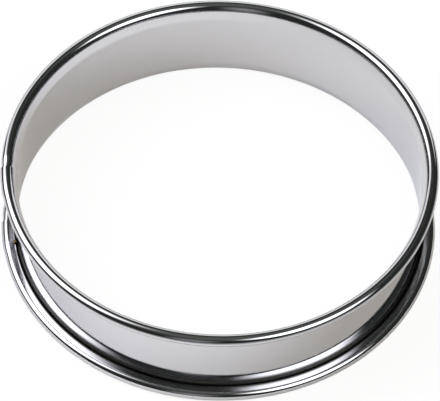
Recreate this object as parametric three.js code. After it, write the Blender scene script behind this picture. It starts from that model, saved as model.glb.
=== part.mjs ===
// A cake ring: one strip of thin polished stainless steel, both long edges rolled outward into open
// hollow curls, bent into a hoop and closed by a lapped seam with spot welds and two small tacks.
// Millimetres, +Z up. The origin is on the ring's axis, on the surface that the ring stands on.
import * as THREE from 'three';

// The ring
const INNER_DIAMETER = 100;   // across the inside of the wall
const HEIGHT = 24.85;         // over both curls
const SHEET = 0.3;            // thickness of the strip

// The curl along each edge, measured on the face of the sheet that shows
const ENTRY_RADIUS = 1;       // the wall turns outward on this bend
const FLARE_ANGLE = 15.5;     // by this many degrees
const FLARE_LENGTH = 2.07;    // and flares straight for this far
const SHOULDER_RADIUS = 2.8;  // then it turns on this bend
const SHOULDER_ANGLE = 43;    // until it leans out by this many degrees
const CURL_RADIUS = 1.427;    // and from there it is rolled round on this bend
const FOOT_WIDTH = 0.15;      // flat along the end of the ring, which it stands on either way up
const SLIT_WIDTH = 0.75;      // open slit between the cut edge of the curl and the wall

// The seam: the front end's curls sleeve over the back end's, and its wall lies inside
const SEAM_DIRECTION = 181.7; // degrees from +X, seen from above, to the front end's cut edge
const LAP_LENGTH = 6.2;       // overlap of the two ends, along the wall
const LAP_GAP = 0.06;         // space between the two lapped sheets
const JOGGLE_LENGTH = 3.5;    // stretch over which each end is set in or out for the lap

// The welds that hold the lap
const WELD_DIAMETER = 2.4;    // spot weld nuggets between the lapped walls
const WELD_PITCH = 5.5;       // from one spot weld to the next, up the wall
const WELD_CLEARANCE = 0.005; // hairline between a nugget and each sheet
const TACK_LENGTH = 1.1;      // the tacks lie on the curls' lips, just past the back end's cut edge
const TACK_WIDTH = 0.8;
const TACK_HEIGHT = 0.6;
const TACK_CLEARANCE = 0.1;   // between a tack and the steel under it

// Facets
const ENTRY_STEPS = 1;
const SHOULDER_STEPS = 1;
const HEEL_STEPS = 2;
const CURL_STEPS = 6;
const JOGGLE_STEPS = 2;
const HOOP_STEPS = 72;
const WELD_SIDES = 20;
const TACK_SIDES = 12;

const wallRadius = INNER_DIAMETER / 2;
const middle = HEIGHT / 2;
const step = (SHEET + LAP_GAP) / 2;   // each end is set off by half of what the lap needs
const lapAngle = THREE.MathUtils.radToDeg(LAP_LENGTH / wallRadius);
const joggleAngle = THREE.MathUtils.radToDeg(JOGGLE_LENGTH / wallRadius);

const polished = { color: 0xc4c3c7, metalness: 1, roughness: 0.12 };
const heatTint = { color: 0x9a7f5c, metalness: 1, roughness: 0.4 };

function cosine(degrees) {
  return Math.cos(THREE.MathUtils.degToRad(degrees));
}

function sine(degrees) {
  return Math.sin(THREE.MathUtils.degToRad(degrees));
}

// Centres of the lower curl's bends, as radius and height, found from the rolled part up to the wall. Each
// bend and the straight flare run on into the next without a kink.
const flareEnd = 180 + FLARE_ANGLE;
const shoulderEnd = 180 + SHOULDER_ANGLE;
const rolledIn = SHOULDER_RADIUS - CURL_RADIUS;
const flaredIn = ENTRY_RADIUS - SHOULDER_RADIUS;
const shoulderLevel = CURL_RADIUS - rolledIn * sine(shoulderEnd);
const entryLevel = shoulderLevel - flaredIn * sine(flareEnd) - FLARE_LENGTH * cosine(flareEnd);
const entryCentre = [wallRadius + ENTRY_RADIUS, entryLevel];
const flareRun = flaredIn * cosine(flareEnd) - FLARE_LENGTH * sine(flareEnd);
const shoulderCentre = [entryCentre[0] + flareRun, shoulderLevel];
const heelCentre = [shoulderCentre[0] + rolledIn * cosine(shoulderEnd), CURL_RADIUS];
const toeCentre = [heelCentre[0] + FOOT_WIDTH, CURL_RADIUS];
const lipEdge = wallRadius + SHEET + SLIT_WIDTH;

function arc(centre, radius, from, to, steps) {
  const points = [];
  for (let i = 0; i <= steps; i += 1) {
    const angle = from + (to - from) * i / steps;
    points.push([centre[0] + radius * cosine(angle), centre[1] + radius * sine(angle)]);
  }
  return points;
}

// One face of the lower curl, from the wall round to the cut edge. `grow` is how far the face lies
// outside the nominal one: the curl's bends keep their centres and only change radius.
function lowerCurl(grow) {
  return [
    ...arc(entryCentre, ENTRY_RADIUS + grow, 180, flareEnd, ENTRY_STEPS),
    ...arc(shoulderCentre, SHOULDER_RADIUS + grow, flareEnd, shoulderEnd, SHOULDER_STEPS),
    ...arc(heelCentre, CURL_RADIUS + grow, shoulderEnd, 270, HEEL_STEPS).slice(1),
    ...arc(toeCentre, CURL_RADIUS + grow, 270, 450, CURL_STEPS),
    [lipEdge, toeCentre[1] + CURL_RADIUS + grow],
  ];
}

// One whole face of the strip, from the upper cut edge over the wall to the lower one. A set-off end
// is pressed back to the ring's height, so that the seam doesn't lift the ring off its foot.
function face(setOff, depth) {
  const lower = lowerCurl(setOff - depth);
  const upper = lower.map(([radius, z]) => [radius, HEIGHT - z]).reverse();
  const press = middle / (middle + Math.abs(setOff));
  return [...upper, ...lower].map(([radius, z]) => [radius, middle + (z - middle) * press]);
}

// Places along the strip, as degrees round the ring and how far the sheet is set off there.
function stations() {
  const places = [{ angle: 0, setOff: step }, { angle: lapAngle, setOff: step }];
  for (let i = 1; i <= JOGGLE_STEPS; i += 1) {
    const share = i / JOGGLE_STEPS;
    places.push({ angle: lapAngle + joggleAngle * share, setOff: step * (1 - share) });
  }
  const start = lapAngle + joggleAngle;
  const end = 360 - joggleAngle;
  for (let i = 1; i <= HOOP_STEPS; i += 1) {
    places.push({ angle: start + (end - start) * i / HOOP_STEPS, setOff: 0 });
  }
  for (let i = 1; i <= JOGGLE_STEPS; i += 1) {
    const share = i / JOGGLE_STEPS;
    places.push({ angle: end + joggleAngle * share, setOff: -step * share });
  }
  places.push({ angle: 360 + lapAngle, setOff: -step });
  return places;
}

// The strip: its cross-section carried round the ring, with a cut edge at each end.
function stripGeometry() {
  const positions = [];
  const index = [];
  const places = stations();
  for (const { angle, setOff } of places) {
    const showing = face(setOff, 0);
    const hidden = face(setOff, SHEET).reverse();
    for (const [radius, z] of [...showing, ...hidden]) {
      positions.push(radius * cosine(angle), radius * sine(angle), z);
    }
  }
  const around = positions.length / 3 / places.length;
  const quad = (a, b, c, d) => index.push(a, c, b, a, d, c);
  for (let i = 0; i + 1 < places.length; i += 1) {
    for (let j = 0; j < around; j += 1) {
      const next = (j + 1) % around;
      const here = i * around;
      const there = here + around;
      quad(here + j, here + next, there + next, there + j);
    }
  }
  const last = (places.length - 1) * around;
  for (let j = 0; j + 1 < around / 2; j += 1) {
    const across = around - 1 - j;
    quad(j, across, across - 1, j + 1);
    quad(last + j, last + j + 1, last + across - 1, last + across);
  }
  const geometry = new THREE.BufferGeometry();
  geometry.setAttribute('position', new THREE.Float32BufferAttribute(positions, 3));
  geometry.setIndex(index);
  geometry.computeVertexNormals();
  return geometry;
}

function piece(name, geometry, finish) {
  const mesh = new THREE.Mesh(geometry, new THREE.MeshStandardMaterial(finish));
  mesh.name = name;
  return mesh;
}

// The seam's own group: its local X points out through the middle of the lap.
function seamWelds() {
  const seam = new THREE.Group();
  const flat = cosine(lapAngle / 2);   // the lapped walls are one flat facet each
  const inside = (wallRadius - step + SHEET) * flat + WELD_CLEARANCE;
  const outside = (wallRadius + step) * flat - WELD_CLEARANCE;
  for (const [place, row] of [['upper', 1], ['middle', 0], ['lower', -1]]) {
    const size = WELD_DIAMETER / 2;
    const nugget = new THREE.CylinderGeometry(size, size, outside - inside, WELD_SIDES);
    const weld = piece(`spot_weld_${place}`, nugget, heatTint);
    weld.rotation.z = Math.PI / 2;
    weld.position.set((inside + outside) / 2, 0, middle + row * WELD_PITCH);
    seam.add(weld);
  }
  seam.rotation.z = THREE.MathUtils.degToRad(lapAngle / 2);
  return seam;
}

// The tacks: small beads of weld on the curls' lips, over the slits, just past the back end's cut edge.
function seamTacks() {
  const tacks = new THREE.Group();
  const lip = toeCentre[1] + CURL_RADIUS + 2 * step;   // the front end's lip stands a little higher
  const centre = lip + TACK_CLEARANCE + TACK_HEIGHT / 2;
  for (const [place, z] of [['lower', centre], ['upper', HEIGHT - centre]]) {
    const bead = new THREE.SphereGeometry(0.5, TACK_SIDES, TACK_SIDES / 2);
    const tack = piece(`${place}_seam_tack`, bead, heatTint);
    tack.scale.set(TACK_WIDTH, TACK_LENGTH, TACK_HEIGHT);
    tack.position.set(lipEdge, TACK_LENGTH / 2 + TACK_CLEARANCE, z);
    tacks.add(tack);
  }
  tacks.rotation.z = THREE.MathUtils.degToRad(lapAngle);
  return tacks;
}

const ring = new THREE.Group();
ring.add(piece('rolled_strip', stripGeometry(), polished));
ring.add(seamWelds());
ring.add(seamTacks());
ring.rotation.z = THREE.MathUtils.degToRad(SEAM_DIRECTION);

export default ring;
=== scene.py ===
"""A polished cake ring, dressed for its photograph.

One strip of bright stainless sheet, both edges rolled outward into hollow curls, is worked out as a
profile carried round a circle. Its ends lap at the left, with a small tack of weld on each curl's lip.
Everything is in metres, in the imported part's frame.
"""

import math

import bpy
import numpy as np
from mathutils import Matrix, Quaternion, Vector


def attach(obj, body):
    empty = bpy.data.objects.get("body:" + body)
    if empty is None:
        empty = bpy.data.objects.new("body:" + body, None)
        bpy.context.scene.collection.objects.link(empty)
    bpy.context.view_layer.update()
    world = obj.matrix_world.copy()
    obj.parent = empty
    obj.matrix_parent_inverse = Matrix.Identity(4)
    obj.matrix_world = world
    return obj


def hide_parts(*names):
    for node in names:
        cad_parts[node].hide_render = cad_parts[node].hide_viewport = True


bl_info = {
    "name": "Cake ring",
    "version": (1, 0, 0),
    "blender": (4, 5, 0),
    "location": "3D View > Sidebar > Cake ring",
    "description": "Builds a polished cake ring with rolled edges and a lapped seam, and its studio",
    "category": "Add Mesh",
}

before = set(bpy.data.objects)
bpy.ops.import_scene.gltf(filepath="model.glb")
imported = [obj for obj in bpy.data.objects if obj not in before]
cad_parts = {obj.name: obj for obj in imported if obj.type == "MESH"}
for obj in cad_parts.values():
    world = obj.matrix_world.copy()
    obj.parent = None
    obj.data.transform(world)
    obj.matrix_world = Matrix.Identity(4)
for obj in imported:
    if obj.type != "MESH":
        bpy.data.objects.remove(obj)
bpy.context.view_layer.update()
# Points along the parts of the profile
ENTRY_POINTS = 7      # bend where the wall turns outward
STRAIGHT_POINTS = 4   # flare of a curl, and its lip
SHOULDER_POINTS = 8   # bend between the flare and the curl
HEEL_POINTS = 13      # curl down to the foot
ROLL_POINTS = 31      # curl from the foot round to the lip
WALL_POINTS = 12      # straight wall between the curls
EDGE_POINTS = 5       # rounded cut edge
# Stations round the ring
LAP_STATIONS = 12
JOGGLE_STATIONS = 10
HOOP_STATIONS = 264


def linear(code):
    """Linear red, green and blue of an sRGB hex colour: c / 12.92 for dark values of c, and otherwise
    ((c + 0.055) / 1.055) to the power 2.4."""
    value = np.array([int(code[i:i + 2], 16) for i in (0, 2, 4)]) / 255
    return tuple(np.where(value <= 0.04045, value / 12.92, ((value + 0.055) / 1.055) ** 2.4))


def length(name, description, millimetres):
    """A length that a user may change, given in millimetres."""
    return bpy.props.FloatProperty(
        name=name, description=description, default=millimetres / 1000, unit="LENGTH", precision=5)


def angle(name, description, degrees):
    """An angle that a user may change, given in degrees."""
    return bpy.props.FloatProperty(
        name=name, description=description, default=math.radians(degrees), subtype="ANGLE")


def colour(name, description, code):
    """A colour that a user may change, given as sRGB hex."""
    return bpy.props.FloatVectorProperty(
        name=name, description=description, default=linear(code), subtype="COLOR", min=0, max=1)


def amount(name, description, default):
    """A plain number that a user may change."""
    return bpy.props.FloatProperty(
        name=name, description=description, default=default, subtype="FACTOR", min=0)


class CakeRingSizes(bpy.types.PropertyGroup):
    """Sizes of the ring, its curls and its seam."""

    inner_diameter: length("Inner diameter", "Across the inside of the wall", 100)
    height: length("Height", "Over both curls", 24.85)
    sheet: length("Sheet", "Thickness of the strip", 0.3)
    entry_radius: length("Entry radius", "Bend where the wall turns outward", 1)
    flare_angle: angle("Flare angle", "How far that bend turns", 15.5)
    flare_length: length("Flare length", "Straight flare between that bend and the shoulder", 2.07)
    shoulder_radius: length("Shoulder radius", "Bend between the flare and the curl", 2.8)
    shoulder_angle: angle("Shoulder angle", "How far the sheet leans out where the curl starts", 43)
    curl_radius: length("Curl radius", "Bend of the rest of the curl", 1.427)
    foot_width: length("Foot width", "Flat that the ring stands on", 0.15)
    slit_width: length("Slit width", "From the curl's cut edge to the wall", 0.75)
    edge_round: length("Edge round", "How far the cut edges are rounded off", 0.06)
    seam_direction: angle("Seam direction", "From +X to the front end's cut edge, seen from above", 181.7)
    lap_length: length("Lap length", "Overlap of the two ends along the wall", 6.2)
    lap_gap: length("Lap gap", "Space between the lapped sheets", 0.06)
    joggle_length: length("Joggle length", "Stretch over which an end is set in or out", 3.5)
    weld_pitch: length("Weld pitch", "From one spot weld to the next", 5.5)
    tack_length: length("Tack length", "Tack of weld, along the lip", 1.1)
    tack_width: length("Tack width", "Tack of weld, across the lip", 0.8)
    tack_height: length("Tack height", "Tack of weld, above the lip", 0.6)
    tack_inset: length("Tack inset", "From the back end's cut edge to the tack", 0.1)
    tack_sink: length("Tack sink", "How far the tack is sunk into the lip", 0.1)


class CakeRingFinish(bpy.types.PropertyGroup):
    """Colours of the steel and of the studio."""

    steel: colour("Steel", "Bright stainless steel", "C5C5C9")
    # Painted shade: a dark colour for the inside of the curls that stands in for the shade there.
    edge: colour("Grazing steel", "What the steel mirrors at a grazing angle", "F3F3F3")
    curl_inside_shade: colour("Painted shade in the curls", "Steel inside the curls, painted dark as shade", "565654")
    straw: colour("Straw tint", "Lightly heated steel near a weld", "B09A72")
    bronze: colour("Bronze tint", "Hotter steel beside a weld", "7A5E41")
    oxide: colour("Oxide", "Dark scale on weld metal", "3E3A38")
    sheet: colour("White sheet", "Paper that the ring stands on", "F2F2F2")
    table: colour("Table", "Grey table under the paper", "989898")
    backdrop: colour("Backdrop", "What the camera sees behind the ring", "FFFFFF")
    cool: colour("Left light", "Cool fill light from the left", "DAE3FF")
    warm: colour("Right light", "Warm fill light from the right", "FFEBC2")
    dusk: colour("Dim studio", "Unlit walls and ceiling of the studio", "B4BAB2")


class CakeRingStudio(bpy.types.PropertyGroup):
    """Strength of the studio's lights, as the brightness of their faces."""

    right: amount("Right softbox", "Brightness of the round softbox at the right", 4.0)
    left: amount("Left softbox", "Brightness of the round softbox at the left", 4.0)
    right_fill: amount("Right fill", "Light on the sheet from the right, not mirrored by the steel", 1.0)
    left_fill: amount("Left fill", "Light on the sheet from the left, not mirrored by the steel", 3.2)
    back: amount("Back card", "Brightness of the low white card behind the ring", 1.1)
    front: amount("Front card", "Brightness of the dim card below the camera", 0.3)


def add_node(tree, kind, inputs=None, **settings):
    """Add one shader node. A value in inputs is set on the named socket, and an output is linked to it."""
    node = tree.nodes.new(kind)
    for name, value in settings.items():
        setattr(node, name, value)
    for socket, value in (inputs or {}).items():
        if isinstance(value, bpy.types.NodeSocket):
            tree.links.new(value, node.inputs[socket])
        else:
            node.inputs[socket].default_value = value
    return node


def blank_material(name):
    """A material with an empty node tree."""
    material = bpy.data.materials.new(name)
    material.use_nodes = True
    material.node_tree.nodes.clear()
    return material, material.node_tree


def per_metre(millimetres):
    """Texture scale whose features are that many millimetres across."""
    return 1000 / millimetres


def bright_stainless(finish):
    """Stainless steel strip, bright rolled and buffed along its length: a mirror with faint lines along
    the strip, a slow wave in the sheet, a trace of handling, straw to bronze tints at the welds, and
    painted shade inside the curls."""
    # Roughness that full heat, a bare edge and the inside of the curls add to the buffed steel's
    heat_roughness = 0.22
    edge_roughness = 0.25
    inside_roughness = 0.3
    material, tree = blank_material("bright_rolled_stainless_steel")
    strip = add_node(tree, "ShaderNodeUVMap", uv_map="strip").outputs["UV"]
    place = add_node(tree, "ShaderNodeTexCoord").outputs["Object"]

    # Buffing lines: about 30 mm long and 0.5 mm apart, drawn a little coarse so that they can show.
    stretched = add_node(tree, "ShaderNodeMapping", {
        "Vector": strip, "Scale": (per_metre(30), per_metre(0.5), 1)}).outputs["Vector"]
    lines = add_node(tree, "ShaderNodeTexNoise", {
        "Vector": stretched, "Scale": 1.0, "Detail": 3.0, "Roughness": 0.6}).outputs["Fac"]
    # Slow wave of thin sheet that was bent by rollers: about 14 mm from crest to crest.
    wave = add_node(tree, "ShaderNodeTexNoise", {
        "Vector": strip, "Scale": per_metre(14), "Detail": 1.0}).outputs["Fac"]
    # Trace of handling: cloudy patches about 9 mm across.
    smear = add_node(tree, "ShaderNodeTexNoise", {
        "Vector": place, "Scale": per_metre(9), "Detail": 4.0, "Roughness": 0.65}).outputs["Fac"]

    gloss = add_node(tree, "ShaderNodeMapRange", {
        "Value": lines, "From Min": 0.3, "From Max": 0.7,
        "To Min": 0.035, "To Max": 0.07}).outputs["Result"]
    haze = add_node(tree, "ShaderNodeMapRange", {
        "Value": smear, "From Min": 0.5, "From Max": 0.75, "To Min": 0.0, "To Max": 0.06}).outputs["Result"]
    clean = add_node(tree, "ShaderNodeMath", {0: gloss, 1: haze}, operation="ADD").outputs[0]

    # Heat tint: steel, then straw, then bronze, as the mesh's own heat value rises.
    heat = add_node(tree, "ShaderNodeAttribute", attribute_name="heat").outputs["Fac"]
    ramp = add_node(tree, "ShaderNodeValToRGB", {"Fac": heat})
    stops = ramp.color_ramp.elements
    stops[0].position = 0.12
    stops[0].color = (*finish.steel, 1)
    stops[1].position = 0.85
    stops[1].color = (*finish.bronze, 1)
    middle = stops.new(0.45)
    middle.color = (*finish.straw, 1)
    scaled = add_node(tree, "ShaderNodeMath", {
        0: heat, 1: heat_roughness, 2: clean}, operation="MULTIPLY_ADD").outputs[0]
    # Sheared edges are bare and a little rough. The inside of the curls is rougher, and its colour is
    # painted dark as painted shade in that recess.
    cut = add_node(tree, "ShaderNodeAttribute", attribute_name="cut").outputs["Fac"]
    inside = add_node(tree, "ShaderNodeAttribute", attribute_name="inside").outputs["Fac"]
    bare = add_node(tree, "ShaderNodeMath", {
        0: cut, 1: edge_roughness, 2: scaled}, operation="MULTIPLY_ADD").outputs[0]
    rough = add_node(tree, "ShaderNodeMath", {
        0: inside, 1: inside_roughness, 2: bare}, operation="MULTIPLY_ADD").outputs[0]
    # Inside the curls the steel's colour is mixed towards a dark painted shade.
    tone = add_node(tree, "ShaderNodeMix", {
        "Factor": inside, 6: ramp.outputs["Color"], 7: (*finish.curl_inside_shade, 1)}, data_type="RGBA").outputs[2]

    # The sheet's wave is a few hundredths of a millimetre high, and the buffing lines are a few
    # ten-thousandths high.
    swell = add_node(tree, "ShaderNodeBump", {"Height": wave, "Distance": 0.00003}).outputs["Normal"]
    grain = add_node(tree, "ShaderNodeBump", {
        "Height": lines, "Distance": 0.0000004, "Normal": swell}).outputs["Normal"]
    steel = add_node(tree, "ShaderNodeBsdfPrincipled", {
        "Base Color": tone, "Metallic": 1.0, "Roughness": rough, "Specular Tint": (*finish.edge, 1),
        "Normal": grain})
    add_node(tree, "ShaderNodeOutputMaterial", {"Surface": steel.outputs["BSDF"]})
    return material


def weld_metal(finish):
    """Fused weld metal, heat-tinted bronze with specks of dark oxide, and dull where the oxide lies."""
    material, tree = blank_material("heat_tinted_weld_metal")
    place = add_node(tree, "ShaderNodeTexCoord").outputs["Object"]
    # Oxide specks about 0.25 mm across.
    specks = add_node(tree, "ShaderNodeTexNoise", {
        "Vector": place, "Scale": per_metre(0.25), "Detail": 3.0, "Roughness": 0.6}).outputs["Fac"]
    ramp = add_node(tree, "ShaderNodeValToRGB", {"Fac": specks})
    stops = ramp.color_ramp.elements
    stops[0].position = 0.35
    stops[0].color = (*finish.oxide, 1)
    stops[1].position = 0.65
    stops[1].color = (*finish.straw, 1)
    middle = stops.new(0.5)
    middle.color = (*finish.bronze, 1)
    rough = add_node(tree, "ShaderNodeMapRange", {
        "Value": specks, "From Min": 0.35, "From Max": 0.65,
        "To Min": 0.6, "To Max": 0.3}).outputs["Result"]
    pits = add_node(tree, "ShaderNodeBump", {"Height": specks, "Distance": 0.00002}).outputs["Normal"]
    metal = add_node(tree, "ShaderNodeBsdfPrincipled", {
        "Base Color": ramp.outputs["Color"], "Metallic": 1.0, "Roughness": rough, "Normal": pits})
    add_node(tree, "ShaderNodeOutputMaterial", {"Surface": metal.outputs["BSDF"]})
    return material


def bend(centre, reach, start, end, count):
    """Points of one bend at every station: the centre plus the station's reach times the unit vector at
    each angle from start to end."""
    turn = np.linspace(start, end, count)
    around = np.stack([np.cos(turn), np.sin(turn)], -1)
    return np.array(centre) + reach[:, None, None] * around


def curl_centres(size):
    """Centres of the lower curl's four bends and the radius of its cut edge. Each bend and the straight
    flare run on into the next without a kink: two bends that meet have their centres on one line through
    the meeting point, and the flare is square to the direction in which the bends beside it end."""
    flare_end = math.pi + size.flare_angle
    shoulder_end = math.pi + size.shoulder_angle
    rolled_in = size.shoulder_radius - size.curl_radius
    flared_in = size.entry_radius - size.shoulder_radius
    level = size.curl_radius - rolled_in * math.sin(shoulder_end)
    rise = -flared_in * math.sin(flare_end) - size.flare_length * math.cos(flare_end)
    run = flared_in * math.cos(flare_end) - size.flare_length * math.sin(flare_end)
    entry = (size.inner_diameter / 2 + size.entry_radius, level + rise)
    shoulder = (entry[0] + run, level)
    heel = (shoulder[0] + rolled_in * math.cos(shoulder_end), size.curl_radius)
    toe = (heel[0] + size.foot_width, size.curl_radius)
    lip = size.inner_diameter / 2 + size.sheet + size.slit_width
    return entry, shoulder, heel, toe, lip


def lower_curl(size, grow):
    """One face of the lower curl, from the wall round to the cut edge, at every station. A face that
    lies outside the nominal one by grow keeps the bends' centres and adds grow to their radii."""
    entry, shoulder, heel, toe, lip = curl_centres(size)
    flare_end = math.pi + size.flare_angle
    shoulder_end = math.pi + size.shoulder_angle
    flat = np.stack([np.full_like(grow, lip), toe[1] + size.curl_radius + grow], -1)[:, None]
    rolled = bend(toe, size.curl_radius + grow, 1.5 * math.pi, 2.5 * math.pi, ROLL_POINTS)
    opening = bend(entry, size.entry_radius + grow, math.pi, flare_end, ENTRY_POINTS)
    turned = bend(shoulder, size.shoulder_radius + grow, flare_end, shoulder_end, SHOULDER_POINTS)
    share = np.linspace(0, 1, STRAIGHT_POINTS + 1)[None, 1:, None]
    return np.concatenate([
        opening,
        opening[:, -1:] * (1 - share) + turned[:, :1] * share,
        turned[:, 1:],
        bend(heel, size.curl_radius + grow, shoulder_end, 1.5 * math.pi, HEEL_POINTS)[:, 1:],
        rolled,
        rolled[:, -1:] * (1 - share) + flat * share,
    ], 1)


def sheet_face(size, set_off, depth):
    """One whole face of the strip, from the upper cut edge over the wall to the lower one. The upper curl
    is the lower one mirrored at half height. Where an end is set off for the lap, heights shrink towards
    the middle by half / (half + set off), so that the seam stays inside the ring's height."""
    half = size.height / 2
    lower = lower_curl(size, set_off - depth)
    upper = (lower * (1, -1) + (0, size.height))[:, ::-1]
    share = np.linspace(0, 1, WALL_POINTS + 2)[None, 1:-1, None]
    wall = upper[:, -1:] * (1 - share) + lower[:, :1] * share
    face = np.concatenate([upper, wall, lower], 1)
    press = half / (half + np.abs(set_off))
    face[..., 1] = half + (face[..., 1] - half) * press[:, None]
    return face


def cut_edge(start, end, round_off):
    """Rounded cut edge between the two faces of the sheet: half an ellipse from start to end, which
    bulges towards the wall by round_off."""
    turn = np.linspace(0, math.pi, EDGE_POINTS + 2)[None, 1:-1, None]
    middle = (start + end)[:, None] / 2
    across = (start - end)[:, None] / 2
    return middle + across * np.cos(turn) - np.array([round_off, 0]) * np.sin(turn)


def strip_stations(size):
    """Angles along the strip from the front end's cut edge, and how far the sheet is set off there: out by
    half the lap's need at the front end, in by as much at the back end, with a smooth step between."""
    wall = size.inner_diameter / 2
    lap = size.lap_length / wall
    joggle = size.joggle_length / wall
    end = 2 * math.pi - joggle
    turn = np.concatenate([
        np.linspace(0, lap, LAP_STATIONS, endpoint=False),
        np.linspace(lap, lap + joggle, JOGGLE_STATIONS, endpoint=False),
        np.linspace(lap + joggle, end, HOOP_STATIONS, endpoint=False),
        np.linspace(end, 2 * math.pi, JOGGLE_STATIONS, endpoint=False),
        np.linspace(2 * math.pi, 2 * math.pi + lap, LAP_STATIONS + 1),
    ])
    out = np.clip((lap + joggle - turn) / joggle, 0, 1)
    inward = np.clip((turn - end) / joggle, 0, 1)
    smooth = out ** 2 * (3 - 2 * out) - inward ** 2 * (3 - 2 * inward)
    return turn, smooth * (size.sheet + size.lap_gap) / 2


def round_the_ring(size, profile, turn):
    """Points of a profile of radius and height, carried round the axis to each station's angle."""
    around = turn[:, None] + size.seam_direction
    radius = profile[..., 0]
    return np.stack([radius * np.cos(around), radius * np.sin(around), profile[..., 1]], -1)


def weld_places(size):
    """Where the steel was heated: middles of the three spot welds and of the two tacks."""
    wall = size.inner_diameter / 2
    lap = size.lap_length / wall
    *_, toe, lip = curl_centres(size)
    half = size.height / 2
    row = np.array([-1, 0, 1]) * size.weld_pitch + half
    spots = np.stack([np.full(3, wall), row], -1)
    level = toe[1] + size.curl_radius + size.sheet + size.lap_gap - size.tack_sink + size.tack_height / 2
    tacks = np.array([[lip, level], [lip, size.height - level]])
    past = (size.tack_inset + size.tack_length / 2) / lip
    spots = round_the_ring(size, spots[None], np.array([lap / 2]))[0]
    tacks = round_the_ring(size, tacks[None], np.array([lap + past]))[0]
    return spots, tacks


def heat_at(points, size):
    """Heat tint from 0 to 1. Each spot weld has a ring of tint round it: strength times the exponential of
    minus the square of (distance - ring radius) / ring spread. Each tack has a patch: the exponential of
    minus the square of distance / patch spread."""
    ring_strength = 0.3
    ring_radius = 0.0015
    ring_spread = 0.0005
    patch_spread = 0.001
    spots, tacks = weld_places(size)
    from_spot = np.linalg.norm(points[:, None] - spots, axis=-1).min(1)
    from_tack = np.linalg.norm(points[:, None] - tacks, axis=-1).min(1)
    ring = ring_strength * np.exp(-((from_spot - ring_radius) / ring_spread) ** 2)
    return np.clip(ring + np.exp(-(from_tack / patch_spread) ** 2), 0, 1)


def new_piece(name, points, quads, material):
    """A smooth-shaded mesh object at the origin that rides on the part."""
    mesh = bpy.data.meshes.new(name)
    mesh.from_pydata(points, [], quads)
    mesh.shade_smooth()
    mesh.set_sharp_from_angle(angle=math.radians(35))
    mesh.materials.append(material)
    piece = bpy.data.objects.new(name, mesh)
    bpy.context.scene.collection.objects.link(piece)
    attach(piece, "root")
    return piece


def grid_quads(rows, columns):
    """Quads of a grid of rows by columns of points whose columns close on themselves."""
    row, column = np.meshgrid(np.arange(rows - 1), np.arange(columns), indexing="ij")
    here = row * columns
    there = here + columns
    after = (column + 1) % columns
    return np.stack([here + column, there + column, there + after, here + after], -1).reshape(-1, 4)


class CAKERING_OT_strip(bpy.types.Operator):
    """Build the rolled strip: wall, both curls and the lapped seam, in one sheet"""

    bl_idname = "cake_ring.strip"
    bl_label = "Rolled strip"

    def execute(self, context):
        size = context.scene.cake_ring_sizes
        turn, set_off = strip_stations(size)
        shown = sheet_face(size, set_off, 0)
        hidden = sheet_face(size, set_off, size.sheet)[:, ::-1]
        lower = cut_edge(shown[:, -1], hidden[:, 0], size.edge_round)
        upper = cut_edge(hidden[:, -1], shown[:, 0], size.edge_round)
        outline = np.concatenate([shown, lower, hidden, upper], 1)
        rows, columns = outline.shape[:2]
        points = round_the_ring(size, outline, turn).reshape(-1, 3)

        # The two ends of the strip are closed by a row of quads across the sheet and a face at each
        # cut edge.
        face = shown.shape[1]
        edge = lower.shape[1]
        along = np.arange(face - 1)
        across = 2 * face + edge - 1 - along
        front = np.stack([along, along + 1, across - 1, across], -1)
        lip = np.arange(face - 1, face + edge + 1)
        brow = np.append(np.arange(2 * face + edge - 1, columns), 0)
        last = (rows - 1) * columns
        ends = [*front.tolist(), lip.tolist(), brow.tolist(), *(front[:, ::-1] + last).tolist(),
                (lip[::-1] + last).tolist(), (brow[::-1] + last).tolist()]
        quads = grid_quads(rows, columns)
        steel = bright_stainless(context.scene.cake_ring_finish)
        piece = new_piece("bright_rolled_strip", points, [*quads.tolist(), *ends], steel)

        # The strip's own map, in metres: along the wall, and across the sheet from the upper cut edge.
        stride = np.linalg.norm(np.diff(outline[rows // 2], axis=0, append=outline[rows // 2, :1]), axis=1)
        reach = np.concatenate([[0], np.cumsum(stride)])
        row = quads // columns
        column = quads % columns
        column[:, 2:] = np.where(column[:, 2:] == 0, columns, column[:, 2:])
        run = turn * size.inner_diameter / 2
        flat = np.stack([run[row], reach[column]], -1).reshape(-1, 2)
        corners = np.concatenate(ends)
        caps = np.stack([run[corners // columns], reach[corners % columns]], -1)
        layer = piece.data.uv_layers.new(name="strip")
        layer.data.foreach_set("uv", np.concatenate([flat, caps]).ravel())

        heat = piece.data.attributes.new("heat", "FLOAT", "POINT")
        heat.data.foreach_set("value", heat_at(points, size))
        # The cut edges are bare, and the lips beside them are only half buffed.
        half_buffed = 0.3
        bare = np.zeros((rows, columns))
        bare[:, :STRAIGHT_POINTS] = half_buffed
        bare[:, face - STRAIGHT_POINTS:face] = half_buffed
        bare[:, face:face + edge] = 1
        bare[:, 2 * face + edge:] = 1
        cut = piece.data.attributes.new("cut", "FLOAT", "POINT")
        cut.data.foreach_set("value", bare.ravel())
        # The hidden face counts as the curl's inside from just above the bend where it leaves the wall.
        # There the steel is rougher and painted dark as shade.
        blend = 0.0003
        level = np.minimum(hidden[..., 1], size.height - hidden[..., 1])
        turned_in = (curl_centres(size)[0][1] + blend - level) / blend
        within = np.zeros((rows, columns))
        within[:, face + edge:2 * face + edge] = np.clip(turned_in, 0, 1)
        inside = piece.data.attributes.new("inside", "FLOAT", "POINT")
        inside.data.foreach_set("value", within.ravel())
        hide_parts("rolled_strip")
        return {"FINISHED"}


class CAKERING_OT_spot_welds(bpy.types.Operator):
    """Give the spot welds between the lapped walls the finish of fused metal"""

    bl_idname = "cake_ring.spot_welds"
    bl_label = "Spot welds"

    def execute(self, context):
        metal = weld_metal(context.scene.cake_ring_finish)
        for name in ("spot_weld_upper", "spot_weld_middle", "spot_weld_lower"):
            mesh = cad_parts[name].data
            mesh.materials.clear()
            mesh.materials.append(metal)
        return {"FINISHED"}


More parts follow.
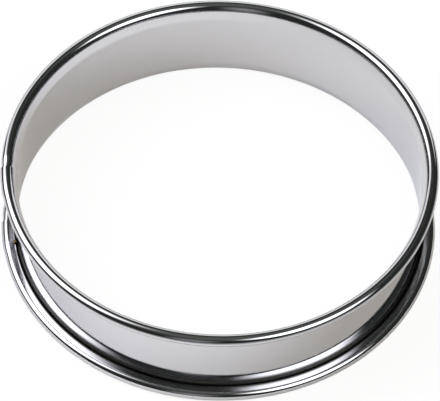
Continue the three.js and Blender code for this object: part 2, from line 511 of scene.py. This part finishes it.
class CAKERING_OT_tacks(bpy.types.Operator):
    """Build the two tacks of weld on the lips of the curls"""

    bl_idname = "cake_ring.tacks"
    bl_label = "Seam tacks"

    def execute(self, context):
        size = context.scene.cake_ring_sizes
        metal = weld_metal(context.scene.cake_ring_finish)
        # A bead: a ball stretched along the lip. Its girth is 1 plus frozen ripples, a sine of the angle
        # along the bead that dies away towards both ends.
        ripple_height = 0.04
        ripple_rate = 9
        rows = 23
        columns = 32
        polar = np.linspace(0, math.pi, rows + 2)[1:-1, None]
        round_it = np.linspace(0, 2 * math.pi, columns, endpoint=False)[None]
        ripple = 1 + ripple_height * np.sin(ripple_rate * polar) * np.sin(polar)
        ball = np.stack([
            ripple * np.sin(polar) * np.cos(round_it),
            np.cos(polar) + 0 * round_it,
            ripple * np.sin(polar) * np.sin(round_it),
        ], -1) / 2
        poles = np.array([[0, 0.5, 0], [0, -0.5, 0]])
        ball = np.concatenate([ball.reshape(-1, 3), poles])
        ball = ball * (size.tack_width, size.tack_length, size.tack_height)
        first = np.arange(columns)
        after = (first + 1) % columns
        last = (rows - 1) * columns
        fans = [*np.stack([first, after, np.full(columns, rows * columns)], -1).tolist(),
                *np.stack([last + after, last + first, np.full(columns, rows * columns + 1)], -1).tolist()]
        faces = [*grid_quads(rows, columns).tolist(), *fans]
        lap = size.lap_length / (size.inner_diameter / 2)
        along = size.seam_direction + lap
        out = np.array([math.cos(along), math.sin(along), 0])
        on = np.array([-math.sin(along), math.cos(along), 0])
        places = weld_places(size)[1]
        for name, place in zip(("lower_seam_tack", "upper_seam_tack"), places):
            points = place + ball[:, :1] * out + ball[:, 1:2] * on + ball[:, 2:] * (0, 0, 1)
            piece = new_piece(name.replace("_seam_tack", "_tack_bead"), points, faces, metal)
            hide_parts(name)
        return {"FINISHED"}


def studio_floor(finish, whiteness):
    """A white sheet of paper that fades into a grey table between two distances from the sheet's middle. A
    share of what the camera sees of it, its whiteness, is plain backdrop, and the rest is the floor as the
    lamps light it, which keeps the ring's shadow. From below it is clear."""
    sheet_middle = (-0.02, 0.035, 0)
    fade_start = 0.1
    fade_end = 0.18
    material, tree = blank_material("white_paper_on_grey_table")
    ray = add_node(tree, "ShaderNodeLightPath")
    place = add_node(tree, "ShaderNodeTexCoord").outputs["Object"]
    away = add_node(tree, "ShaderNodeVectorMath", {0: place, 1: sheet_middle}, operation="DISTANCE")
    fade = add_node(tree, "ShaderNodeMapRange", {
        "Value": away.outputs["Value"], "From Min": fade_start, "From Max": fade_end},
        interpolation_type="SMOOTHSTEP")
    paint = add_node(tree, "ShaderNodeMix", {
        "Factor": fade.outputs["Result"], 6: (*finish.sheet, 1), 7: (*finish.table, 1)}, data_type="RGBA")
    lit = add_node(tree, "ShaderNodeBsdfDiffuse", {"Color": paint.outputs[2]}).outputs["BSDF"]
    white = add_node(tree, "ShaderNodeEmission", {"Color": (*finish.backdrop, 1), "Strength": 1.0})
    share = add_node(tree, "ShaderNodeMath", {
        0: ray.outputs["Is Camera Ray"], 1: whiteness}, operation="MULTIPLY")
    seen = add_node(tree, "ShaderNodeMixShader", {
        "Fac": share.outputs[0], 1: lit, 2: white.outputs["Emission"]}).outputs["Shader"]
    under = add_node(tree, "ShaderNodeNewGeometry").outputs["Backfacing"]
    clear = add_node(tree, "ShaderNodeBsdfTransparent").outputs["BSDF"]
    both = add_node(tree, "ShaderNodeMixShader", {"Fac": under, 1: seen, 2: clear}).outputs["Shader"]
    add_node(tree, "ShaderNodeOutputMaterial", {"Surface": both})
    return material


def studio_lamp(name, shape, side, rise, distance, width, tall, brightness, tint=(1, 1, 1)):
    """An area lamp that faces the ring. Its place is given by the angle to the right of the camera's side,
    the angle above the floor and the distance, and its power is brightness times pi times its area."""
    lamp = bpy.data.lights.new(name, "AREA")
    lamp.shape = shape
    lamp.size = width
    lamp.size_y = tall
    lamp.color = tint
    lamp.energy = brightness * math.pi * width * tall * (math.pi / 4 if shape == "ELLIPSE" else 1)
    holder = bpy.data.objects.new(name, lamp)
    side = math.radians(side)
    rise = math.radians(rise)
    toward = Vector((math.sin(side) * math.cos(rise), -math.cos(side) * math.cos(rise), math.sin(rise)))
    holder.location = toward * distance
    holder.rotation_mode = "QUATERNION"
    holder.rotation_quaternion = toward.to_track_quat("Z", "Y")
    holder.visible_camera = False
    bpy.context.scene.collection.objects.link(holder)
    return holder


def fade_to_rim(lamp, core):
    """Let a round lamp fade smoothly from its core to its rim, as lit cloth does. The core is a share of
    the lamp's radius."""
    lamp.use_nodes = True
    tree = lamp.node_tree
    tree.nodes.clear()
    place = add_node(tree, "ShaderNodeNewGeometry").outputs["Parametric"]
    away = add_node(tree, "ShaderNodeVectorMath", {0: place, 1: (0.5, 0.5, 0)}, operation="DISTANCE")
    fade = add_node(tree, "ShaderNodeMapRange", {
        "Value": away.outputs["Value"], "From Min": 0.5 * core, "From Max": 0.5,
        "To Min": 1.0, "To Max": 0.0}, interpolation_type="SMOOTHSTEP")
    glow = add_node(tree, "ShaderNodeEmission", {"Strength": fade.outputs["Result"]}).outputs["Emission"]
    add_node(tree, "ShaderNodeOutputLight", {"Surface": glow})


def dim_studio(finish):
    """The room that the steel mirrors: dim, with a ceiling that grows paler towards the top. The
    camera sees plain backdrop instead."""
    world = bpy.data.worlds.new("dim_studio")
    world.use_nodes = True
    tree = world.node_tree
    tree.nodes.clear()
    ray = add_node(tree, "ShaderNodeLightPath").outputs["Is Camera Ray"]
    toward = add_node(tree, "ShaderNodeTexCoord").outputs["Generated"]
    up = add_node(tree, "ShaderNodeSeparateXYZ", {"Vector": toward}).outputs["Z"]
    ceiling = add_node(tree, "ShaderNodeMapRange", {
        "Value": up, "From Min": 0.7, "From Max": 1.0, "To Min": 0.07, "To Max": 0.3},
        interpolation_type="SMOOTHSTEP").outputs["Result"]
    dim = add_node(tree, "ShaderNodeBackground", {
        "Color": (*finish.dusk, 1), "Strength": ceiling}).outputs["Background"]
    white = add_node(tree, "ShaderNodeBackground", {"Color": (*finish.backdrop, 1)}).outputs["Background"]
    both = add_node(tree, "ShaderNodeMixShader", {"Fac": ray, 1: dim, 2: white}).outputs["Shader"]
    add_node(tree, "ShaderNodeOutputWorld", {"Surface": both})
    return world


def photograph_camera():
    """The photograph's camera: a long lens that looks down at the ring's middle, and is then tilted, panned
    and rolled by a little. Its focal length is given in pixels of the picture's width."""
    rise = math.radians(51.965)
    distance = 1.4129
    aim_height = 0.01247
    focal_pixels = 5709.6
    picture_width = 440
    tilt = math.radians(-0.0344)
    pan = math.radians(0.0076)
    roll = math.radians(1.444)
    lens = bpy.data.cameras.new("photograph_camera")
    lens.sensor_width = 36
    lens.lens = focal_pixels / picture_width * lens.sensor_width
    lens.clip_start = 0.01
    camera = bpy.data.objects.new("photograph_camera", lens)
    camera.location = (0, -distance * math.cos(rise), aim_height + distance * math.sin(rise))
    ahead = Vector((0, math.cos(rise), -math.sin(rise)))
    right = Vector((1, 0, 0))
    ahead = ahead * math.cos(tilt) + right.cross(ahead) * math.sin(tilt)
    ahead = ahead * math.cos(pan) + right * math.sin(pan)
    camera.rotation_mode = "QUATERNION"
    camera.rotation_quaternion = ahead.to_track_quat("-Z", "Y") @ Quaternion((0, 0, 1), roll)
    bpy.context.scene.collection.objects.link(camera)
    return camera


class CAKERING_OT_studio(bpy.types.Operator):
    """Set up the pale floor, the softboxes, the dim studio round them and the photograph's camera"""

    bl_idname = "cake_ring.studio"
    bl_label = "Studio"

    def execute(self, context):
        scene = context.scene
        finish = scene.cake_ring_finish
        studio = scene.cake_ring_studio
        reach = 3
        mesh = bpy.data.meshes.new("studio_floor")
        corners = [(-reach, -reach, 0), (reach, -reach, 0), (reach, reach, 0), (-reach, reach, 0)]
        mesh.from_pydata(corners, [], [(0, 1, 2, 3)])
        mesh.materials.append(studio_floor(finish, whiteness=0.92))
        floor = bpy.data.objects.new("studio_floor", mesh)
        scene.collection.objects.link(floor)

        # Two round softboxes show in the steel. A fill lamp near each lights the paper and doesn't show.
        right = studio_lamp(
            "right_softbox", "ELLIPSE", side=48.5, rise=48, distance=0.8, width=0.8, tall=0.8,
            brightness=studio.right)
        fade_to_rim(right.data, core=0.354)
        left = studio_lamp(
            "left_softbox", "ELLIPSE", side=-107, rise=48, distance=0.8, width=1.12, tall=1.12,
            brightness=studio.left)
        fade_to_rim(left.data, core=0.304)
        right_fill = studio_lamp(
            "right_fill", "RECTANGLE", side=48.5, rise=70, distance=0.8, width=0.65, tall=0.83,
            brightness=studio.right_fill, tint=finish.warm)
        right_fill.visible_glossy = False
        left_fill = studio_lamp(
            "left_fill", "RECTANGLE", side=-107, rise=48, distance=0.8, width=0.85, tall=0.9,
            brightness=studio.left_fill, tint=finish.cool)
        left_fill.visible_glossy = False
        # The back card shows in the steel and doesn't light the paper. The front card is dim and fades to
        # its rim.
        back_card = studio_lamp(
            "back_card", "RECTANGLE", side=182, rise=18, distance=1.0, width=1.8, tall=0.75,
            brightness=studio.back)
        back_card.visible_diffuse = False
        front_card = studio_lamp(
            "front_card", "ELLIPSE", side=-10, rise=25, distance=1.2, width=0.6, tall=1.4,
            brightness=studio.front)
        fade_to_rim(front_card.data, core=0.1)

        scene.world = dim_studio(finish)
        scene.view_settings.view_transform = "Standard"
        scene.camera = photograph_camera()
        return {"FINISHED"}


class CAKERING_PT_panel(bpy.types.Panel):
    """Sizes, finishes and building steps of the cake ring"""

    bl_idname = "CAKERING_PT_panel"
    bl_label = "Cake ring"
    bl_space_type = "VIEW_3D"
    bl_region_type = "UI"
    bl_category = "Cake ring"

    def draw(self, context):
        scene = context.scene
        for group in (scene.cake_ring_sizes, scene.cake_ring_finish, scene.cake_ring_studio):
            box = self.layout.box()
            for name in group.__annotations__:
                box.prop(group, name)
        for operator in OPERATORS:
            self.layout.operator(operator.bl_idname)


GROUPS = {
    "cake_ring_sizes": CakeRingSizes,
    "cake_ring_finish": CakeRingFinish,
    "cake_ring_studio": CakeRingStudio,
}
OPERATORS = (CAKERING_OT_strip, CAKERING_OT_spot_welds, CAKERING_OT_tacks, CAKERING_OT_studio)


def register():
    for name, group in GROUPS.items():
        bpy.utils.register_class(group)
        setattr(bpy.types.Scene, name, bpy.props.PointerProperty(type=group))
    for operator in OPERATORS:
        bpy.utils.register_class(operator)
    bpy.utils.register_class(CAKERING_PT_panel)


def unregister():
    bpy.utils.unregister_class(CAKERING_PT_panel)
    for operator in reversed(OPERATORS):
        bpy.utils.unregister_class(operator)
    for name, group in reversed(GROUPS.items()):
        delattr(bpy.types.Scene, name)
        bpy.utils.unregister_class(group)


def main():
    register()
    bpy.ops.cake_ring.strip()
    bpy.ops.cake_ring.spot_welds()
    bpy.ops.cake_ring.tacks()
    bpy.ops.cake_ring.studio()


if __name__ == "__main__":
    main()
